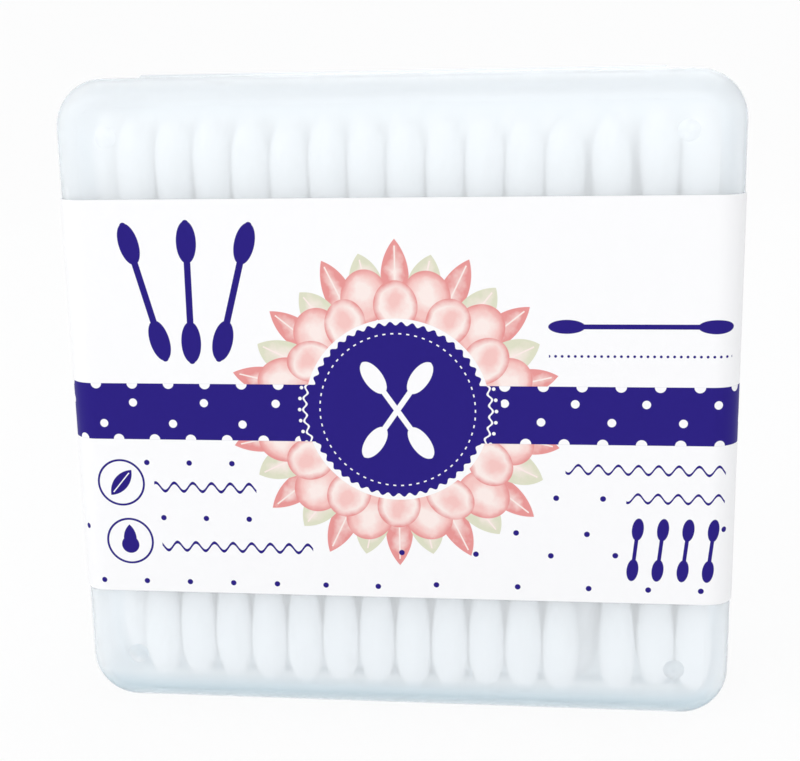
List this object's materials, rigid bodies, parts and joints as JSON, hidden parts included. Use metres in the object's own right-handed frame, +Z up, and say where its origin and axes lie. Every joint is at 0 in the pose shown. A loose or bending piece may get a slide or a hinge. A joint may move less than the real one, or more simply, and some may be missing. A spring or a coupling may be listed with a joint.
{
  "type": "cotton swab box",
  "caption": "Upright hinged box of translucent plastic with a printed sleeve band, filled with rows of double-ended cotton swabs on paper sticks.",
  "frame": {"origin": "centre of the box's footprint on the surface it stands on", "axes": "+X to the right seen from the front, +Y from the lid's face to the back, +Z up along the standing swabs"},
  "size_m": [0.0834, 0.0327, 0.0809],
  "materials": {
    "case_plastic": "satin",
    "sleeve_print": "satin",
    "stick_paper": "matte",
    "cotton": "matte"
  },
  "bodies": {
    "tray": {"base": "case_plastic", "sleeve_back": "sleeve_print", "sticks_row_1": "stick_paper", "sticks_row_2": "stick_paper", "sticks_row_3": "stick_paper", "sticks_row_4": "stick_paper", "sticks_row_5": "stick_paper", "sticks_row_6": "stick_paper", "tips_row_1": "cotton", "tips_row_2": "cotton", "tips_row_3": "cotton", "tips_row_4": "cotton", "tips_row_5": "cotton", "tips_row_6": "cotton"},
    "cover": {"lid": "case_plastic", "sleeve_front": "sleeve_print"}
  },
  "joints": [
    {"name": "lid_hinge", "type": "hinge", "parent": "tray", "child": "cover", "pos_m": [0, -0.00607, 0.0809], "axis": [-1, 0, 0], "range_deg": [0, 180]}
  ]
}
